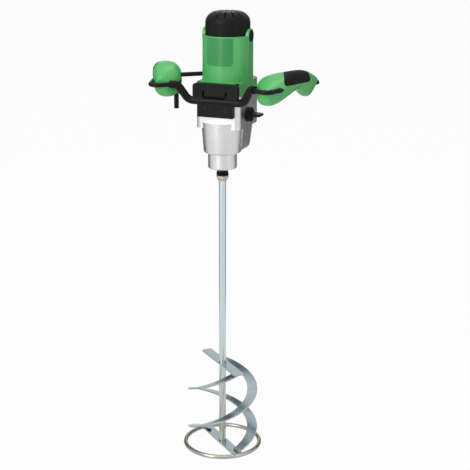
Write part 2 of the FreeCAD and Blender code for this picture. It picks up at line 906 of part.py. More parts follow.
def top_cap():
    outside = around_motor(cap_r, housing_top - cap_lap, cap_top)
    outside = outside.makeFillet(cap_round, foot_edges(outside, cap_top))
    inside = around_motor(cap_r - cap_wall, housing_top - cap_lap - past, cap_top - cap_wall)
    inside = inside.makeFillet(cap_round - cap_wall, foot_edges(inside, cap_top - cap_wall))
    shell = outside.cut(inside)
    hub_foot = housing_top + top_bearing_lift
    hub_r = top_bearing_r + cap_hub_wall
    hub = sleeve(top_bearing_r + press, hub_r, hub_foot, cap_top - cap_wall, motor_axis)
    slots = []
    for number in range(cap_slot_count):
        slot = block(cap_slot_inner, cap_slot_outer, -cap_slot_width / 2, cap_slot_width / 2,
                     cap_top - cap_round - cap_slot_drop, cap_top + past)
        slot.rotate(V(0, 0, 0), UP, 360 * number / cap_slot_count)
        slot.translate(V(0, motor_y, 0))
        slots.append(slot)
    lugs = cross_rod(brush_lug_r + gap, -brush_lug_reach, brush_lug_reach, motor_y, brush_z)
    return shell.cut(slots).fuse(hub).cut(lugs).removeSplitter()


def mirrored(shape):
    return shape.mirror(V(0, 0, 0), V(1, 0, 0))


def both_sides(shape):
    return [shape, mirrored(shape)]


def brush_cap():
    disc = cross_rod(brush_cap_r, brush_lug_reach, brush_lug_reach + brush_cap_thickness, motor_y, brush_z)
    plug = cross_rod(brush_bore_r - running, brush_lug_reach - brush_plug_length, brush_lug_reach + 0.5,
                     motor_y, brush_z)
    face = brush_lug_reach + brush_cap_thickness
    slot = block(face - brush_cap_thickness / 2, face + past, motor_y - brush_slot_length / 2,
                 motor_y + brush_slot_length / 2, brush_z - brush_slot_half, brush_z + brush_slot_half)
    return disc.fuse(plug).cut(slot).removeSplitter()


brush_from = commutator_r + gap
brush_tube_from = commutator_r + brush_tube_clear
brush_tube_to = brush_lug_reach - brush_plug_length - gap


def upright_rect(x0, x1, width, height):
    return block(x0, x1, motor_y - width / 2, motor_y + width / 2, brush_z - height / 2, brush_z + height / 2)


def brush_tube():
    outer = upright_rect(brush_tube_from, brush_tube_to, brush_tube_width, brush_tube_height)
    wall = 2 * brush_tube_wall
    return outer.cut(upright_rect(0, brush_lug_reach, brush_tube_width - wall, brush_tube_height - wall))


def carbon_brush():
    wall = 2 * brush_tube_wall + 2 * running
    end = brush_from + brush_length
    return upright_rect(brush_from, end, brush_tube_width - wall, brush_tube_height - wall)


def brush_spring():
    start = brush_from + brush_length
    outer = cross_rod(brush_spring_r, start, brush_tube_to + gap, motor_y, brush_z)
    inner = brush_spring_r - brush_spring_wire
    return outer.cut(cross_rod(inner, start - past, brush_tube_to + gap + past, motor_y, brush_z))


stator_foot = block_top + stator_lift
stator_top = stator_foot + stator_height


def stator_core():
    return sleeve(stator_bore_r, stator_r, stator_foot, stator_top, motor_axis)


def field_coils():
    coils = []
    for foot in (stator_foot - coil_height, stator_top):
        top = foot + coil_height
        coils.append(sleeve(stator_bore_r + coil_step, stator_r - coil_inset, foot, top, motor_axis))
    return coils


pinion_foot = first_gear_foot - motor_pinion_drop
pinion_top = pinion_foot + motor_pinion_length
top_bearing_foot = housing_top + top_bearing_lift
top_bearing_top = top_bearing_foot + top_bearing_width
commutator_foot = brush_z - commutator_height / 2


def motor_shaft():
    body = around_motor(motor_shaft_r, pinion_top, top_bearing_foot)
    journal = around_motor(top_journal_r, top_bearing_foot, top_bearing_top)
    return body.fuse(journal).removeSplitter()


def armature_core():
    foot = stator_foot + core_short
    return sleeve(motor_shaft_r + press, armature_core_r, foot, stator_top - core_short, motor_axis)


def commutator():
    top = commutator_foot + commutator_height
    return sleeve(motor_shaft_r + press, commutator_r, commutator_foot, top, motor_axis)


def cooling_fan():
    foot = block_top + fan_lift
    plate = sleeve(motor_shaft_r + press, fan_r, foot, foot + fan_plate, motor_axis)
    hub = sleeve(motor_shaft_r + press, fan_hub_r, foot, foot + fan_height, motor_axis)
    blades = []
    for number in range(fan_blade_count):
        vane = block(fan_hub_r - past, fan_r - fan_blade_short, -fan_blade / 2, fan_blade / 2,
                     foot + fan_plate, foot + fan_height)
        vane.rotate(V(0, 0, 0), UP, 360 * number / fan_blade_count)
        vane.translate(V(0, motor_y, 0))
        blades.append(vane)
    return plate.fuse([hub] + blades).removeSplitter()


def housing_screw(place):
    head = post(ear_screw_head_r, flange_top - ear_screw_head, flange_top, place)
    socket = post(ear_screw_head_r / 2, flange_top - ear_screw_head / 2,
                  flange_top + past, place)
    stem = post(ear_screw_r, block_top - ear_screw_reach, flange_top - ear_screw_head, place)
    return head.cut(socket).fuse(stem).removeSplitter()


save("motor_housing", motor_housing())
save("top_cap", top_cap())
save_group("brush_caps", both_sides(brush_cap()))
save_group("brush_tubes", both_sides(brush_tube()))
save_group("carbon_brushes", both_sides(carbon_brush()))
save_group("brush_springs", both_sides(brush_spring()))
save("stator_core", stator_core())
save_group("field_coils", field_coils())
save("motor_shaft", motor_shaft())
save("armature_core", armature_core())
save("commutator", commutator())
save("cooling_fan", cooling_fan())
toward_lay = way(motor_axis, lay_axis)
save("motor_pinion",
     gear(motor_teeth, first_module, motor_pinion_length, 0, motor_axis, pinion_foot, toward_lay))
save("motor_lower_bearing",
     sleeve(motor_shaft_r + running, motor_bearing_r, cover_foot, block_top, motor_axis))
save("motor_upper_bearing",
     sleeve(top_journal_r + running, top_bearing_r, top_bearing_foot, top_bearing_top, motor_axis))
save_group("housing_screws", [housing_screw(p) for p in ear_places()])


# Carrying frame

arm_way = (V(handle_corner_x, handle_corner_y, 0) - V(arm_top_x, arm_top_y, 0)).normalize()
arm_end = V(arm_top_x, arm_top_y, handle_z) + arm_way * ((arm_end_x - arm_top_x) / arm_way.x)


def frame_tube():
    right = [V(tube_straight_half, tube_y, tube_z), V(arm_top_x, arm_top_y, handle_z), arm_end]
    left = [V(-p.x, p.y, p.z) for p in reversed(right)]
    path = bent_path(left + right, tube_bend)
    outer = round_bar(path, tube_d / 2)
    return outer.cut(round_bar(path, tube_d / 2 - tube_wall))


def rod_end():
    return to_world(V(0, rod_length, handle_z))


def handle_rod():
    start = arm_end - arm_way * rod_socket
    path = bent_path([start, V(handle_corner_x, handle_corner_y, handle_z), rod_end()], rod_bend)
    rod = round_bar(path, rod_d / 2)
    sock = arm_end - arm_way * rod_socket
    return rod.fuse(straight_bar(sock, arm_end, tube_d / 2 - tube_wall - running)).removeSplitter()


def front_block():
    front = block_front - front_block_depth
    foot = tube_z
    body = block(-front_block_half, front_block_half, front, block_front, foot, flange_top)
    corners = [e for e in body.Edges if abs(e.BoundBox.YMax - e.BoundBox.YMin - front_block_depth) < 0.01
               and e.BoundBox.ZMin > flange_top - past]
    body = body.makeFillet(front_block_round, corners)
    lip = tube_z + tube_bed_r
    arch = block(-front_block_arch_half, front_block_arch_half, front - past, front + front_block_arch_depth,
                 foot - past, lip + front_block_arch_rise)
    notches = []
    for x in (-front_block_notch_x, front_block_notch_x):
        notches.append(block(x - front_block_notch / 2, x + front_block_notch / 2, front - past,
                             front + front_block_arch_depth, lip, lip + front_block_notch_height))
    return body.cut([tube_bed(), arch] + notches).removeSplitter()


def clamp_plate():
    front = block_front - plate_thickness
    body = block(-plate_half, plate_half, front, block_front, plate_foot, tube_z)
    body = body.cut(tube_bed())
    for x in (-plate_screw_x, plate_screw_x):
        face = V(x, front, plate_screw_z)
        body = body.cut(Part.makeCylinder(screw_r + press, plate_thickness + past, face, V(0, 1, 0)))
        body = body.cut(Part.makeCylinder(screw_head_r + gap, screw_head, face, V(0, 1, 0)))
    return body.removeSplitter()


def plate_screw(x):
    front = block_front - plate_thickness
    face = V(x, front, plate_screw_z)
    head = Part.makeCylinder(screw_head_r, screw_head, face, V(0, 1, 0))
    stem_start = V(x, front + screw_head, plate_screw_z)
    stem = Part.makeCylinder(screw_r, plate_thickness - screw_head + screw_reach, stem_start, V(0, 1, 0))
    socket = Part.makeCylinder(screw_socket_r, screw_socket_depth, face, V(0, 1, 0))
    return head.fuse(stem).cut(socket).removeSplitter()


save("frame_tube", frame_tube())
right_rod = handle_rod()
save("right_handle_rod", right_rod)
save("left_handle_rod", mirrored(right_rod))
save("front_block", front_block())
save("clamp_plate", clamp_plate())
save_group("plate_screws", [plate_screw(x) for x in (-plate_screw_x, plate_screw_x)])


# Handles, drawn along local Y with local X pointing outward, then turned into place

def grip_ring(along, inner, outer, foot, top, inset):
    middle = V((inner + outer) / 2, along, (foot + top) / 2)
    half_w = (outer - inner) / 2 - inset
    half_h = (top - foot) / 2 - inset
    points = []
    for step in range(handle_points):
        a = 2 * math.pi * step / handle_points
        c = math.cos(a)
        s = math.sin(a)
        x = half_w * math.copysign(abs(c) ** (2 / handle_squareness), c)
        z = half_h * math.copysign(abs(s) ** (2 / handle_squareness), s)
        points.append(middle + V(x, 0, z))
    curve = Part.BSplineCurve()
    curve.interpolate(Points=points, PeriodicFlag=True)
    return Part.Wire([curve.toShape()])


def grip_form(inset, sections):
    rings = []
    last = len(sections) - 1
    for number, (along, inner, outer, foot, top) in enumerate(sections):
        if number == 0:
            along += inset
        if number == last:
            along -= inset
        rings.append(grip_ring(along, inner, outer, handle_z + foot, handle_z + top, inset))
    return Part.makeLoft(rings, True, False)


def insert_region():
    slope = insert_slant * insert_reach
    corners = [
        V(-insert_reach, insert_from + slope, insert_foot),
        V(insert_reach, insert_from - slope, insert_foot),
        V(insert_reach, insert_to, insert_foot),
        V(-insert_reach, insert_to, insert_foot),
    ]
    tall = Part.Face(Part.makePolygon(corners + corners[:1])).extrude(V(0, 0, side_reach))
    edges = [e for e in tall.Edges if abs(e.BoundBox.XMax - e.BoundBox.XMin - 2 * insert_reach) < 0.1
             and e.BoundBox.ZMax < insert_foot + past]
    return tall.makeFillet(insert_round, edges)


def outer_side(sections):
    first = sections[0]
    last = sections[-1]
    start = V((first[1] + first[2]) / 2, first[0], 0)
    end = V((last[1] + last[2]) / 2, last[0], 0)
    along = (end - start).normalize()
    side = V(along.y, -along.x, 0)
    a = start - along * side_reach
    b = end + along * side_reach
    corners = [a, b, b + side * side_reach, a + side * side_reach]
    low = V(0, 0, handle_z - side_reach)
    face = Part.Face(Part.makePolygon([p + low for p in corners + corners[:1]]))
    return face.extrude(V(0, 0, 2 * side_reach))


def in_place(shape):
    moved = shape.copy()
    moved.rotate(V(0, 0, 0), UP, -handle_turn)
    moved.translate(V(handle_corner_x, handle_corner_y, 0))
    return moved


rod_groove = Part.makeCylinder(rod_d / 2 + gap, 3 * rod_length, V(0, -rod_length, handle_z), V(0, 1, 0))
insert_box = insert_region()
left_form = grip_form(0.0, left_sections)
left_hollow = grip_form(handle_wall, left_sections)


def screw_holes(sections):
    holes = []
    for along, lift in grip_screw_places:
        start = V(-side_reach, along, handle_z + lift)
        hole = Part.makeCylinder(grip_screw_r + press, side_reach, start, V(1, 0, 0))
        holes.append(hole.cut(grip_form(grip_screw_depth, sections)))
    return holes


def grip_shell(sections):
    shell = grip_form(0.0, sections).cut(grip_form(handle_wall, sections))
    shell = shell.cut(insert_box.cut(grip_form(insert_depth, sections)))
    return shell.cut([rod_groove] + screw_holes(sections))


def soft_insert(sections):
    return insert_box.common(grip_form(0.0, sections)).cut(grip_form(insert_depth, sections))


def grip_screws(sections):
    heads = []
    for along, lift in grip_screw_places:
        start = V(-side_reach, along, handle_z + lift)
        head = Part.makeCylinder(grip_screw_r, side_reach, start, V(1, 0, 0))
        head = head.common(grip_form(grip_screw_sink, sections))
        head = head.cut(grip_form(grip_screw_depth, sections))
        heads.append(max(head.Solids, key=lambda solid: -solid.CenterOfMass.x))
    return heads


# Switch, lock button and lead of the left handle

def beside_rod(shape):
    return shape.translated(V(trigger_across, 0, 0))


def trigger_slot():
    half = trigger_half + gap
    top = handle_z + trigger_slot_rise
    mouth = block(-half, half, trigger_from - loose, trigger_to + trigger_sweep, handle_z - side_reach, top)
    relief_from = trigger_pivot_along - trigger_eye_r - trigger_relief
    relief = block(-half, half, relief_from, trigger_from, handle_z - trigger_relief, top)
    return beside_rod(mouth.fuse(relief))


def trigger():
    wide = block(-trigger_half, trigger_half, trigger_from, trigger_to, trigger_foot, handle_z + trigger_lap)
    tips = [e for e in wide.Edges if abs(e.BoundBox.XMax - e.BoundBox.XMin - 2 * trigger_half) < 0.01
            and e.BoundBox.ZMax < trigger_foot + past]
    wide = wide.makeFillet(trigger_floor, tips)
    arm = block(-trigger_half, trigger_half, trigger_pivot_along - trigger_eye_r,
                trigger_from + trigger_arm_lap, handle_z - trigger_lap, trigger_pivot_z)
    eye = cross_rod(trigger_eye_r, -trigger_half, trigger_half, trigger_pivot_along, trigger_pivot_z)
    inner = trigger_half - trigger_cheek
    channel = block(-inner, inner, 0, rod_length, trigger_foot + trigger_floor, handle_z + side_reach)
    pin = Part.makeCylinder(trigger_pin_r + running, 4 * trigger_half,
                            V(-2 * trigger_half, trigger_pivot_along, trigger_pivot_z), V(1, 0, 0))
    return beside_rod(wide.fuse([arm, eye]).cut([channel, pin]).removeSplitter())


def trigger_pin():
    pin = cross_rod(trigger_pin_r, -side_reach, side_reach, trigger_pivot_along, trigger_pivot_z)
    return pin.common(left_hollow)


def switch_body():
    body = block(-switch_half, switch_half, switch_from, switch_to, switch_foot, switch_foot + switch_height)
    return body.common(grip_form(handle_wall + gap, left_sections))


def lock_face():
    bar = Part.makeCylinder(lock_r, side_reach, V(0, lock_along, lock_z), V(1, 0, 0))
    return left_form.common(bar).optimalBoundingBox(False).XMax


def lock_button():
    face = lock_face()
    return cross_rod(lock_r, face - lock_stem, face + lock_show, lock_along, lock_z)


def lock_hole():
    return Part.makeCylinder(lock_r + running, side_reach, V(0, lock_along, lock_z), V(1, 0, 0))


def cord_gland():
    outside = post(gland_r, gland_foot, handle_z, (gland_across, gland_along))
    tube = outside.cut(post(gland_bore_r, gland_foot - past, handle_z + past, (gland_across, gland_along)))
    return tube.cut(left_hollow)


def gland_hole():
    return post(gland_r + press, gland_foot, handle_z, (gland_across, gland_along))


right_shell = grip_shell(right_sections)
right_outer_side = outer_side(right_sections)
right_screws = [in_place(screw) for screw in grip_screws(right_sections)]
left_shell = grip_shell(left_sections)
left_outer_side = outer_side(left_sections)
left_screws = [mirrored(in_place(screw)) for screw in grip_screws(left_sections)]
switch_cuts = [trigger_slot(), lock_hole(), gland_hole()]
lead_start, lead_end = lead_ends()
motor_lead = straight_bar(lead_start, lead_end, lead_r)
lead_hole = straight_bar(lead_start, lead_end, lead_r + press)
save("right_handle_outer", in_place(right_shell.common(right_outer_side)))
save("right_handle_inner", in_place(right_shell.cut(right_outer_side)))
save("left_handle_outer", mirrored(in_place(left_shell.common(left_outer_side).cut(switch_cuts))))
save("left_handle_inner", mirrored(in_place(left_shell.cut(left_outer_side).cut(switch_cuts))).cut(lead_hole))
save("right_grip_insert", in_place(soft_insert(right_sections)))
save("left_grip_insert", mirrored(in_place(soft_insert(left_sections))))
save_group("handle_screws", right_screws + left_screws)
save("trigger", mirrored(in_place(trigger())))
save("trigger_pin", mirrored(in_place(trigger_pin())))
save("switch_body", mirrored(in_place(switch_body())))
save("lock_button", mirrored(in_place(lock_button())))
save("cord_gland", mirrored(in_place(cord_gland())))
save("motor_lead", motor_lead)
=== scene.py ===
import json
import math

import bmesh
import bpy
from mathutils import Matrix, Vector


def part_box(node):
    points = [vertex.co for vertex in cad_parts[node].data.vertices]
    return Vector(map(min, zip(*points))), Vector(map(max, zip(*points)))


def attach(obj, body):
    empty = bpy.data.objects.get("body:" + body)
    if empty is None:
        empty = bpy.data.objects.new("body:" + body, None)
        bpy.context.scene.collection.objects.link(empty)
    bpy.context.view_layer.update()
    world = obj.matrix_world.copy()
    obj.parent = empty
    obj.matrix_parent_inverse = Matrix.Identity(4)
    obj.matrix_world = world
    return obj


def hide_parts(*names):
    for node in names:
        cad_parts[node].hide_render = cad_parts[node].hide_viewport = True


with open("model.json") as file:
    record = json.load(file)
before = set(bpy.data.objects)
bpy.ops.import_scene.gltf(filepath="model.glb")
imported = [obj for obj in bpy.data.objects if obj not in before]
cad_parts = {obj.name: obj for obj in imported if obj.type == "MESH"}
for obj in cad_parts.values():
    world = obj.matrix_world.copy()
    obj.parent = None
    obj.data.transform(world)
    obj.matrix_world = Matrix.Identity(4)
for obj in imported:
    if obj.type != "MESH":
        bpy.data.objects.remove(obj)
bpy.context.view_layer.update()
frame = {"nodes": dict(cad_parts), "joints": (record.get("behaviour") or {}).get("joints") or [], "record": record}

nodes = frame["nodes"]
record = frame["record"]
slot_of = {part["node"]: part["material_slot"] for part in record["subparts"]}
body_of = {node: body for body, members in record["behaviour"]["bodies"].items() for node in members}
armature_spin = next(joint for joint in frame["joints"] if joint["name"] == "armature_spin")
motor_x, motor_y = armature_spin["pos_m"][:2]

MM = 0.001
QUARTER_TURN = math.pi / 2
FULL_TURN = 2 * math.pi
Z_AXIS = (0, 0, 1)
MIDDLE = (0, 0, 0)

# Meshes
MERGE_DISTANCE = 0.002 * MM
SEAM_DISTANCE = 0.01 * MM
FLAT_ANGLE = math.radians(0.3)
EDGE_ANGLE = math.radians(35.0)
EDGE_SEGMENTS = 2

# Paddle
BLADE_WIDTH = 20 * MM
BLADE_THICKNESS = 3 * MM
BLADE_STEPS = 120
BLADE_EDGE_MM = 0.6
PADDLE_ANGLE = math.radians(-42.0)
RING_WIRE = 8.5 * MM
RING_STEPS = 160
RING_SIDES = 28
RING_EDGE_MM = 0.3

# Plating: the shaft is warmer near its foot, and the collar is beige below and black above
SHAFT_WARM_BELOW = 50 * MM
SHAFT_COOL_ABOVE = 240 * MM
COLLAR_BEIGE = 9 * MM
COLLAR_BLACK = 11 * MM

# Darker panel on the front of the motor housing
HOUSING_FOOT_R = 49.5 * MM
HOUSING_TOP_R = 47.5 * MM
HOUSING_HEIGHT = 109 * MM
PANEL_HALF_ANGLE = math.radians(33.0)
PANEL_FOOT = 783 * MM
PANEL_TOP = 835 * MM
PANEL_CORNER = 7 * MM
PANEL_CORNER_STEPS = 8
PANEL_STRIPS = 40
PANEL_THICKNESS = 0.35 * MM
PANEL_EDGE_MM = 0.12

# Camera: a long lens to the right of the front, looking a little down
CAMERA_AZIMUTH = math.radians(22.0)
CAMERA_PITCH = math.radians(16.5)
CAMERA_DISTANCE = 2.34
CAMERA_HEIGHT = 1.14
CAMERA_REACH = 50.0
FOCAL_PIXELS = 1240.0
FRAME_PIXELS = 470.0
SENSOR_MM = 36.0
SPINDLE_PIXEL_X = 222.5

# Studio
FLOOR_SIZE = 40.0
FLOOR_GLOW = 0.95
ROOM_LIGHT = 0.38
MATT = 0.9


# Materials

def grey(level):
    return (level, level, level)


def new_material(name, metallic=0.0, gloss=0.5):
    material = bpy.data.materials.new(name)
    material.use_nodes = True
    tree = material.node_tree
    bsdf = tree.nodes["Principled BSDF"]
    bsdf.inputs["Metallic"].default_value = metallic
    bsdf.inputs["Specular IOR Level"].default_value = gloss
    return material, tree, bsdf


def object_point(tree, stretch=(1, 1, 1)):
    place = tree.nodes.new("ShaderNodeTexCoord")
    mapping = tree.nodes.new("ShaderNodeMapping")
    mapping.inputs["Scale"].default_value = stretch
    tree.links.new(place.outputs["Object"], mapping.inputs["Vector"])
    return mapping.outputs["Vector"]


def noise(tree, scale, detail=3.0, stretch=(1, 1, 1)):
    texture = tree.nodes.new("ShaderNodeTexNoise")
    texture.inputs["Scale"].default_value = scale
    texture.inputs["Detail"].default_value = detail
    tree.links.new(object_point(tree, stretch), texture.inputs["Vector"])
    return texture.outputs["Fac"]


def cells(tree, scale):
    texture = tree.nodes.new("ShaderNodeTexVoronoi")
    texture.inputs["Scale"].default_value = scale
    tree.links.new(object_point(tree), texture.inputs["Vector"])
    return texture.outputs["Distance"]


def colour_between(tree, bsdf, value, first, second, low=0.35, high=0.65):
    ramp = tree.nodes.new("ShaderNodeValToRGB")
    start, end = ramp.color_ramp.elements
    start.position = low
    start.color = (*first, 1)
    end.position = high
    end.color = (*second, 1)
    tree.links.new(value, ramp.inputs["Fac"])
    tree.links.new(ramp.outputs["Color"], bsdf.inputs["Base Color"])


def roughness_between(tree, bsdf, value, low, high):
    spread = tree.nodes.new("ShaderNodeMapRange")
    spread.inputs["From Min"].default_value = 0.3
    spread.inputs["From Max"].default_value = 0.7
    spread.inputs["To Min"].default_value = low
    spread.inputs["To Max"].default_value = high
    tree.links.new(value, spread.inputs["Value"])
    tree.links.new(spread.outputs["Result"], bsdf.inputs["Roughness"])


def bump(tree, bsdf, height, strength, depth_mm):
    node = tree.nodes.new("ShaderNodeBump")
    node.inputs["Strength"].default_value = strength
    node.inputs["Distance"].default_value = depth_mm * MM
    tree.links.new(height, node.inputs["Height"])
    tree.links.new(node.outputs["Normal"], bsdf.inputs["Normal"])


def moulded_plastic(name, dark, light, rough, grain_mm, depth_mm, gloss):
    material, tree, bsdf = new_material(name, gloss=gloss)
    colour_between(tree, bsdf, noise(tree, scale=14.0), dark, light)
    roughness_between(tree, bsdf, noise(tree, scale=300.0), rough - 0.03, rough + 0.03)
    grain = noise(tree, scale=1 / (grain_mm * MM), detail=2.0)
    bump(tree, bsdf, grain, strength=0.25, depth_mm=depth_mm)
    return material


def soft_rubber(name, dark, light):
    material, tree, bsdf = new_material(name, gloss=0.12)
    colour_between(tree, bsdf, noise(tree, scale=30.0), dark, light)
    roughness_between(tree, bsdf, noise(tree, scale=80.0), 0.55, 0.72)
    bump(tree, bsdf, cells(tree, scale=700.0), strength=0.5, depth_mm=0.25)
    return material


def paint(name, dark, light):
    material, tree, bsdf = new_material(name, gloss=0.12)
    colour_between(tree, bsdf, noise(tree, scale=25.0), dark, light)
    roughness_between(tree, bsdf, noise(tree, scale=60.0), 0.30, 0.44)
    bump(tree, bsdf, noise(tree, scale=420.0, detail=2.0), strength=0.25, depth_mm=0.12)
    return material


def cast_metal(name, dark, light, rough):
    material, tree, bsdf = new_material(name, metallic=1.0)
    colour_between(tree, bsdf, noise(tree, scale=18.0, detail=4.0), dark, light)
    roughness_between(tree, bsdf, noise(tree, scale=70.0, detail=4.0), rough - 0.06, rough + 0.08)
    bump(tree, bsdf, noise(tree, scale=900.0), strength=0.30, depth_mm=0.12)
    return material


def plated_steel(name, dark, light, rough, stretch=(1, 1, 1)):
    material, tree, bsdf = new_material(name, metallic=1.0)
    colour_between(tree, bsdf, noise(tree, scale=11.0, detail=4.0), dark, light)
    roughness_between(tree, bsdf, noise(tree, scale=90.0, stretch=stretch), rough - 0.04, rough + 0.06)
    bump(tree, bsdf, noise(tree, scale=120.0, detail=2.0, stretch=stretch), strength=0.04, depth_mm=0.05)
    return material


def two_part_plating(name, lower, upper, lower_to, upper_from, rough):
    material, tree, bsdf = new_material(name, metallic=1.0)
    height = tree.nodes.new("ShaderNodeSeparateXYZ")
    tree.links.new(object_point(tree), height.inputs["Vector"])
    level = tree.nodes.new("ShaderNodeMapRange")
    level.inputs["From Min"].default_value = lower_to
    level.inputs["From Max"].default_value = upper_from
    tree.links.new(height.outputs["Z"], level.inputs["Value"])
    colour_between(tree, bsdf, level.outputs["Result"], lower, upper, low=0.0, high=1.0)
    streaks = noise(tree, scale=140.0, stretch=(1, 1, 0.05))
    roughness_between(tree, bsdf, streaks, rough - 0.05, rough + 0.08)
    drawn_lines = noise(tree, scale=400.0, detail=2.0, stretch=(1, 1, 0.03))
    bump(tree, bsdf, drawn_lines, strength=0.08, depth_mm=0.05)
    return material


def stacked_sheet(name, dark, light):
    material, tree, bsdf = new_material(name, metallic=0.8)
    colour_between(tree, bsdf, noise(tree, scale=60.0), dark, light)
    roughness_between(tree, bsdf, noise(tree, scale=90.0), 0.45, 0.6)
    layers = noise(tree, scale=900.0, detail=1.0, stretch=(0.02, 0.02, 1.0))
    bump(tree, bsdf, layers, strength=0.6, depth_mm=0.3)
    return material


finishes = {
    "green_shell": moulded_plastic("green_moulding", (0.076, 0.420, 0.112), (0.088, 0.455, 0.125),
                                   rough=0.33, grain_mm=1.1, depth_mm=0.05, gloss=0.5),
    "black_plastic": moulded_plastic("black_moulding", (0.006, 0.006, 0.0065), (0.009, 0.009, 0.0095),
                                     rough=0.40, grain_mm=0.9, depth_mm=0.10, gloss=0.10),
    "soft_black": soft_rubber("soft_black_rubber", (0.007, 0.007, 0.0075), (0.011, 0.011, 0.0115)),
    "black_frame": paint("black_frame_paint", (0.006, 0.006, 0.007), (0.010, 0.010, 0.011)),
    "cast_aluminium": cast_metal("cast_silver", (0.62, 0.62, 0.625), grey(0.68), rough=0.36),
    "zinc_plate": plated_steel("zinc_plating", (0.30, 0.38, 0.41), (0.40, 0.47, 0.49), rough=0.27),
    "blackened_steel": plated_steel("blackened_steel", (0.018, 0.018, 0.020), (0.035, 0.035, 0.038),
                                    rough=0.38),
    "gear_steel": plated_steel("ground_steel", (0.48, 0.48, 0.49), (0.58, 0.58, 0.59), rough=0.28,
                               stretch=(1, 1, 0.1)),
    "bearing_steel": plated_steel("bearing_steel", (0.66, 0.66, 0.67), (0.74, 0.74, 0.75), rough=0.16),
    "bronze": plated_steel("plain_bronze", (0.52, 0.36, 0.17), (0.64, 0.46, 0.24), rough=0.34),
    "copper": plated_steel("varnished_copper", (0.50, 0.22, 0.10), (0.66, 0.33, 0.17), rough=0.36),
    "laminations": stacked_sheet("stacked_sheet", (0.16, 0.16, 0.17), (0.26, 0.26, 0.28)),
    "carbon": moulded_plastic("pressed_carbon", grey(0.012), grey(0.024),
                              rough=0.60, grain_mm=0.5, depth_mm=0.10, gloss=0.3),
    "fan_plastic": moulded_plastic("fan_moulding", grey(0.030), grey(0.045),
                                   rough=0.45, grain_mm=0.8, depth_mm=0.10, gloss=0.4),
}
collar_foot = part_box("paddle_collar")[0].z
own_finish = {
    "stirrer_shaft": two_part_plating("shaft_plating", (0.46, 0.48, 0.42), (0.56, 0.65, 0.68),
                                      SHAFT_WARM_BELOW, SHAFT_COOL_ABOVE, rough=0.24),
    "paddle_collar": two_part_plating("collar_plating", (0.44, 0.43, 0.33), grey(0.010),
                                      collar_foot + COLLAR_BEIGE, collar_foot + COLLAR_BLACK, rough=0.32),
    "foot_ring": plated_steel("ring_plating", (0.30, 0.30, 0.26), (0.43, 0.42, 0.37), rough=0.24),
}
panel_green = moulded_plastic("panel_green", (0.024, 0.250, 0.066), (0.029, 0.275, 0.076),
                              rough=0.27, grain_mm=2.5, depth_mm=0.006, gloss=0.5)


def finish_of(node):
    return own_finish.get(node) or finishes[slot_of[node]]


for node in nodes:
    materials = nodes[node].data.materials
    materials.clear()
    materials.append(finish_of(node))


# Pieces

def link_mesh(name, mesh_data, material):
    mesh = bpy.data.meshes.new(name)
    mesh_data.to_mesh(mesh)
    mesh_data.free()
    mesh.materials.append(material)
    thing = bpy.data.objects.new(name, mesh)
    bpy.context.scene.collection.objects.link(thing)
    return thing


def add_piece(name, mesh_data, node, edge_mm, material=None, stands_for=True):
    piece = link_mesh(name, mesh_data, material or finish_of(node))
    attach(piece, body_of[node])
    if stands_for:
        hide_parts(node)
    round_edges(piece, edge_mm)


def round_edges(piece, edge_mm):
    piece.data.shade_smooth()
    bevel = piece.modifiers.new("rounded edges", "BEVEL")
    bevel.width = edge_mm * MM
    bevel.segments = EDGE_SEGMENTS
    bevel.limit_method = "ANGLE"
    bevel.angle_limit = EDGE_ANGLE
    weighted = piece.modifiers.new("flat faces", "WEIGHTED_NORMAL")
    weighted.keep_sharp = True


def everything(mesh):
    return mesh.verts[:] + mesh.edges[:] + mesh.faces[:]


def rectangle(width, height):
    mesh = bmesh.new()
    bmesh.ops.create_grid(mesh, x_segments=1, y_segments=1, size=0.5)
    bmesh.ops.scale(mesh, vec=(width, height, 1), verts=mesh.verts)
    return mesh


def finished_node(node, edge_mm):
    mesh = bmesh.new()
    mesh.from_mesh(nodes[node].data)
    bmesh.ops.remove_doubles(mesh, verts=mesh.verts, dist=MERGE_DISTANCE)
    bmesh.ops.dissolve_limit(mesh, angle_limit=FLAT_ANGLE, verts=mesh.verts, edges=mesh.edges)
    add_piece(node + "_finished", mesh, node, edge_mm)


def helix_blade(node, turned):
    low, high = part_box(node)
    rise = high.z - low.z - BLADE_THICKNESS
    section_middle = (high.x - BLADE_WIDTH / 2, 0, low.z + BLADE_THICKNESS / 2)
    mesh = rectangle(BLADE_WIDTH, BLADE_THICKNESS)
    bmesh.ops.rotate(mesh, matrix=Matrix.Rotation(QUARTER_TURN, 3, "X"), verts=mesh.verts)
    bmesh.ops.translate(mesh, vec=section_middle, verts=mesh.verts)
    bmesh.ops.rotate(mesh, matrix=Matrix.Rotation(PADDLE_ANGLE + turned, 3, "Z"), verts=mesh.verts)
    bmesh.ops.spin(mesh, geom=everything(mesh), cent=MIDDLE, axis=Z_AXIS, dvec=(0, 0, rise / BLADE_STEPS),
                   angle=FULL_TURN, steps=BLADE_STEPS, use_merge=False)
    bmesh.ops.remove_doubles(mesh, verts=mesh.verts, dist=SEAM_DISTANCE)
    bmesh.ops.recalc_face_normals(mesh, faces=mesh.faces)
    add_piece(node + "_ribbon", mesh, node, BLADE_EDGE_MM)


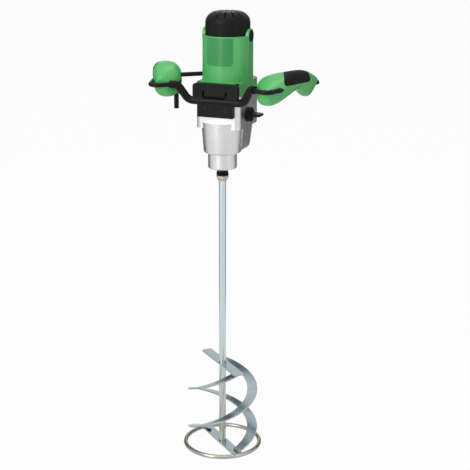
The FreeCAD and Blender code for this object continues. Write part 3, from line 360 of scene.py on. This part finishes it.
# A round wire with its underside cut flat where it stands on the floor
def wire_ring(node):
    low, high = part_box(node)
    wire_r = RING_WIRE / 2
    mesh = bmesh.new()
    bmesh.ops.create_circle(mesh, radius=wire_r, segments=RING_SIDES)
    bmesh.ops.rotate(mesh, matrix=Matrix.Rotation(QUARTER_TURN, 3, "X"), verts=mesh.verts)
    bmesh.ops.translate(mesh, vec=(high.x - wire_r, 0, high.z - wire_r), verts=mesh.verts)
    bmesh.ops.spin(mesh, geom=mesh.verts[:] + mesh.edges[:], cent=MIDDLE, axis=Z_AXIS,
                   angle=FULL_TURN, steps=RING_STEPS, use_merge=True)
    bmesh.ops.remove_doubles(mesh, verts=mesh.verts, dist=SEAM_DISTANCE)
    bmesh.ops.bisect_plane(mesh, geom=everything(mesh), plane_co=(0, 0, low.z), plane_no=(0, 0, -1),
                           clear_outer=True)
    bmesh.ops.bridge_loops(mesh, edges=[edge for edge in mesh.edges if edge.is_boundary])
    bmesh.ops.recalc_face_normals(mesh, faces=mesh.faces)
    add_piece(node + "_wire", mesh, node, RING_EDGE_MM)


def housing_radius(z):
    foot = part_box("gear_case")[1].z
    return HOUSING_FOOT_R + (HOUSING_TOP_R - HOUSING_FOOT_R) * (z - foot) / HOUSING_HEIGHT


# A flat plate with its two lower corners rounded, cut into strips and bent round the housing
def front_panel():
    half = PANEL_HALF_ANGLE * housing_radius((PANEL_FOOT + PANEL_TOP) / 2)
    mesh = bmesh.new()
    corners = [(-half, PANEL_FOOT), (half, PANEL_FOOT), (half, PANEL_TOP), (-half, PANEL_TOP)]
    outline = [mesh.verts.new((x, 0, z)) for x, z in corners]
    mesh.faces.new(outline)
    bmesh.ops.bevel(mesh, geom=outline[:2], offset=PANEL_CORNER, offset_type="OFFSET",
                    segments=PANEL_CORNER_STEPS, profile=0.5, affect="VERTICES", material=-1)
    for number in range(1, PANEL_STRIPS):
        x = -half + 2 * half * number / PANEL_STRIPS
        bmesh.ops.bisect_plane(mesh, geom=everything(mesh), plane_co=(x, 0, 0), plane_no=(1, 0, 0))
    for vert in mesh.verts:
        angle = vert.co.x / half * PANEL_HALF_ANGLE
        radius = housing_radius(vert.co.z)
        vert.co.x = motor_x + radius * math.sin(angle)
        vert.co.y = motor_y - radius * math.cos(angle)
    bmesh.ops.recalc_face_normals(mesh, faces=mesh.faces)
    if mesh.faces[:][0].normal.y > 0:
        bmesh.ops.reverse_faces(mesh, faces=mesh.faces)
    bmesh.ops.solidify(mesh, geom=mesh.faces[:], thickness=-PANEL_THICKNESS)
    add_piece("front_panel", mesh, "motor_housing", PANEL_EDGE_MM, panel_green, stands_for=False)


edge_mm_of = {
    "motor_housing": 1.0,
    "top_cap": 0.5,
    "brush_caps": 0.5,
    "gear_case": 1.0,
    "front_block": 1.2,
    "clamp_plate": 0.8,
    "plate_screws": 0.5,
    "housing_screws": 0.5,
    "selector_knob": 0.6,
    "frame_tube": 0.4,
    "right_handle_rod": 0.5,
    "left_handle_rod": 0.5,
    "right_handle_outer": 0.5,
    "right_handle_inner": 0.5,
    "left_handle_outer": 0.5,
    "left_handle_inner": 0.5,
    "handle_screws": 0.2,
    "trigger": 0.6,
    "lock_button": 0.6,
    "cord_gland": 0.4,
    "motor_lead": 0.3,
    "right_grip_insert": 0.8,
    "left_grip_insert": 0.8,
    "spindle": 0.5,
    "paddle_collar": 0.4,
    "stirrer_shaft": 0.5,
    "top_bar": 0.5,
    "bottom_bar": 0.5,
}
for node, edge_mm in edge_mm_of.items():
    finished_node(node, edge_mm)
helix_blade("mixing_blade_left", math.pi)
helix_blade("mixing_blade_right", 0.0)
wire_ring("foot_ring")
front_panel()


# Studio

def add_camera():
    camera = bpy.data.cameras.new("camera")
    camera.sensor_width = SENSOR_MM
    camera.lens = FOCAL_PIXELS / FRAME_PIXELS * SENSOR_MM
    camera.shift_x = (FRAME_PIXELS / 2 - SPINDLE_PIXEL_X) / FRAME_PIXELS
    camera.clip_end = CAMERA_REACH
    holder = bpy.data.objects.new("camera", camera)
    bpy.context.scene.collection.objects.link(holder)
    right = CAMERA_DISTANCE * math.sin(CAMERA_AZIMUTH)
    forward = CAMERA_DISTANCE * math.cos(CAMERA_AZIMUTH)
    holder.location = (right, -forward, CAMERA_HEIGHT)
    holder.rotation_euler = (QUARTER_TURN - CAMERA_PITCH, 0, CAMERA_AZIMUTH)
    bpy.context.scene.camera = holder


def turn_to_drill(thing, place, aim_height):
    aim = Vector((0, 0, aim_height))
    thing.location = place
    thing.rotation_euler = (aim - Vector(place)).to_track_quat("-Z", "Y").to_euler()


def add_softbox(name, place, aim_height, width, height, watts):
    light = bpy.data.lights.new(name, "AREA")
    light.shape = "RECTANGLE"
    light.size = width
    light.size_y = height
    light.energy = watts
    holder = bpy.data.objects.new(name, light)
    bpy.context.scene.collection.objects.link(holder)
    turn_to_drill(holder, place, aim_height)


# The backdrop and the floor are bright where they are seen or mirrored, and light the drill less than that
def seen_or_mirrored(tree):
    path = tree.nodes.new("ShaderNodeLightPath")
    either = tree.nodes.new("ShaderNodeMath")
    either.operation = "MAXIMUM"
    tree.links.new(path.outputs["Is Camera Ray"], either.inputs[0])
    tree.links.new(path.outputs["Is Glossy Ray"], either.inputs[1])
    return either.outputs["Value"]


def add_world():
    world = bpy.data.worlds.new("studio")
    bpy.context.scene.world = world
    world.use_nodes = True
    tree = world.node_tree
    backdrop = tree.nodes["Background"]
    backdrop.inputs["Color"].default_value = (1, 1, 1, 1)
    room = tree.nodes.new("ShaderNodeBackground")
    room.inputs["Color"].default_value = (0.95, 0.97, 1.0, 1)
    room.inputs["Strength"].default_value = ROOM_LIGHT
    mix = tree.nodes.new("ShaderNodeMixShader")
    tree.links.new(seen_or_mirrored(tree), mix.inputs["Fac"])
    tree.links.new(room.outputs["Background"], mix.inputs[1])
    tree.links.new(backdrop.outputs["Background"], mix.inputs[2])
    tree.links.new(mix.outputs["Shader"], tree.nodes["World Output"].inputs["Surface"])


def add_floor():
    material, tree, bsdf = new_material("pale_floor")
    bsdf.inputs["Base Color"].default_value = (*grey(0.90), 1)
    bsdf.inputs["Roughness"].default_value = MATT
    share = tree.nodes.new("ShaderNodeMath")
    share.operation = "MULTIPLY"
    share.inputs[1].default_value = FLOOR_GLOW
    glow = tree.nodes.new("ShaderNodeEmission")
    mix = tree.nodes.new("ShaderNodeMixShader")
    tree.links.new(seen_or_mirrored(tree), share.inputs[0])
    tree.links.new(share.outputs["Value"], mix.inputs["Fac"])
    tree.links.new(bsdf.outputs["BSDF"], mix.inputs[1])
    tree.links.new(glow.outputs["Emission"], mix.inputs[2])
    tree.links.new(mix.outputs["Shader"], tree.nodes["Material Output"].inputs["Surface"])
    floor = link_mesh("floor", rectangle(FLOOR_SIZE, FLOOR_SIZE), material)


# A dark board that shows only in reflections, where it gives the bright metal its dark edges
def add_flag(name, place, aim_height, width, height):
    material, _, bsdf = new_material(name + "_cloth", gloss=0.0)
    bsdf.inputs["Base Color"].default_value = (*grey(0.20), 1)
    bsdf.inputs["Roughness"].default_value = MATT
    flag = link_mesh(name, rectangle(width, height), material)
    turn_to_drill(flag, place, aim_height)
    flag.visible_camera = False
    flag.visible_diffuse = False
    flag.visible_shadow = False


add_camera()
add_world()
add_floor()
add_softbox("key_softbox", (-0.9, -2.2, 1.9), aim_height=0.6, width=1.2, height=1.6, watts=32.0)
add_softbox("top_softbox", (0.2, -0.3, 2.6), aim_height=0.7, width=1.4, height=1.4, watts=14.0)
add_softbox("side_softbox", (2.2, -0.8, 1.2), aim_height=0.6, width=0.6, height=1.6, watts=5.0)
add_softbox("strip_softbox", (-0.46, -2.25, 0.85), aim_height=0.6, width=0.6, height=1.8, watts=6.0)
add_flag("right_flag", (0.33, 0.74, 0.55), aim_height=0.55, width=0.8, height=1.1)
add_flag("left_flag", (-0.74, 0.33, 0.55), aim_height=0.55, width=0.8, height=1.1)
bpy.context.scene.view_settings.view_transform = "Standard"
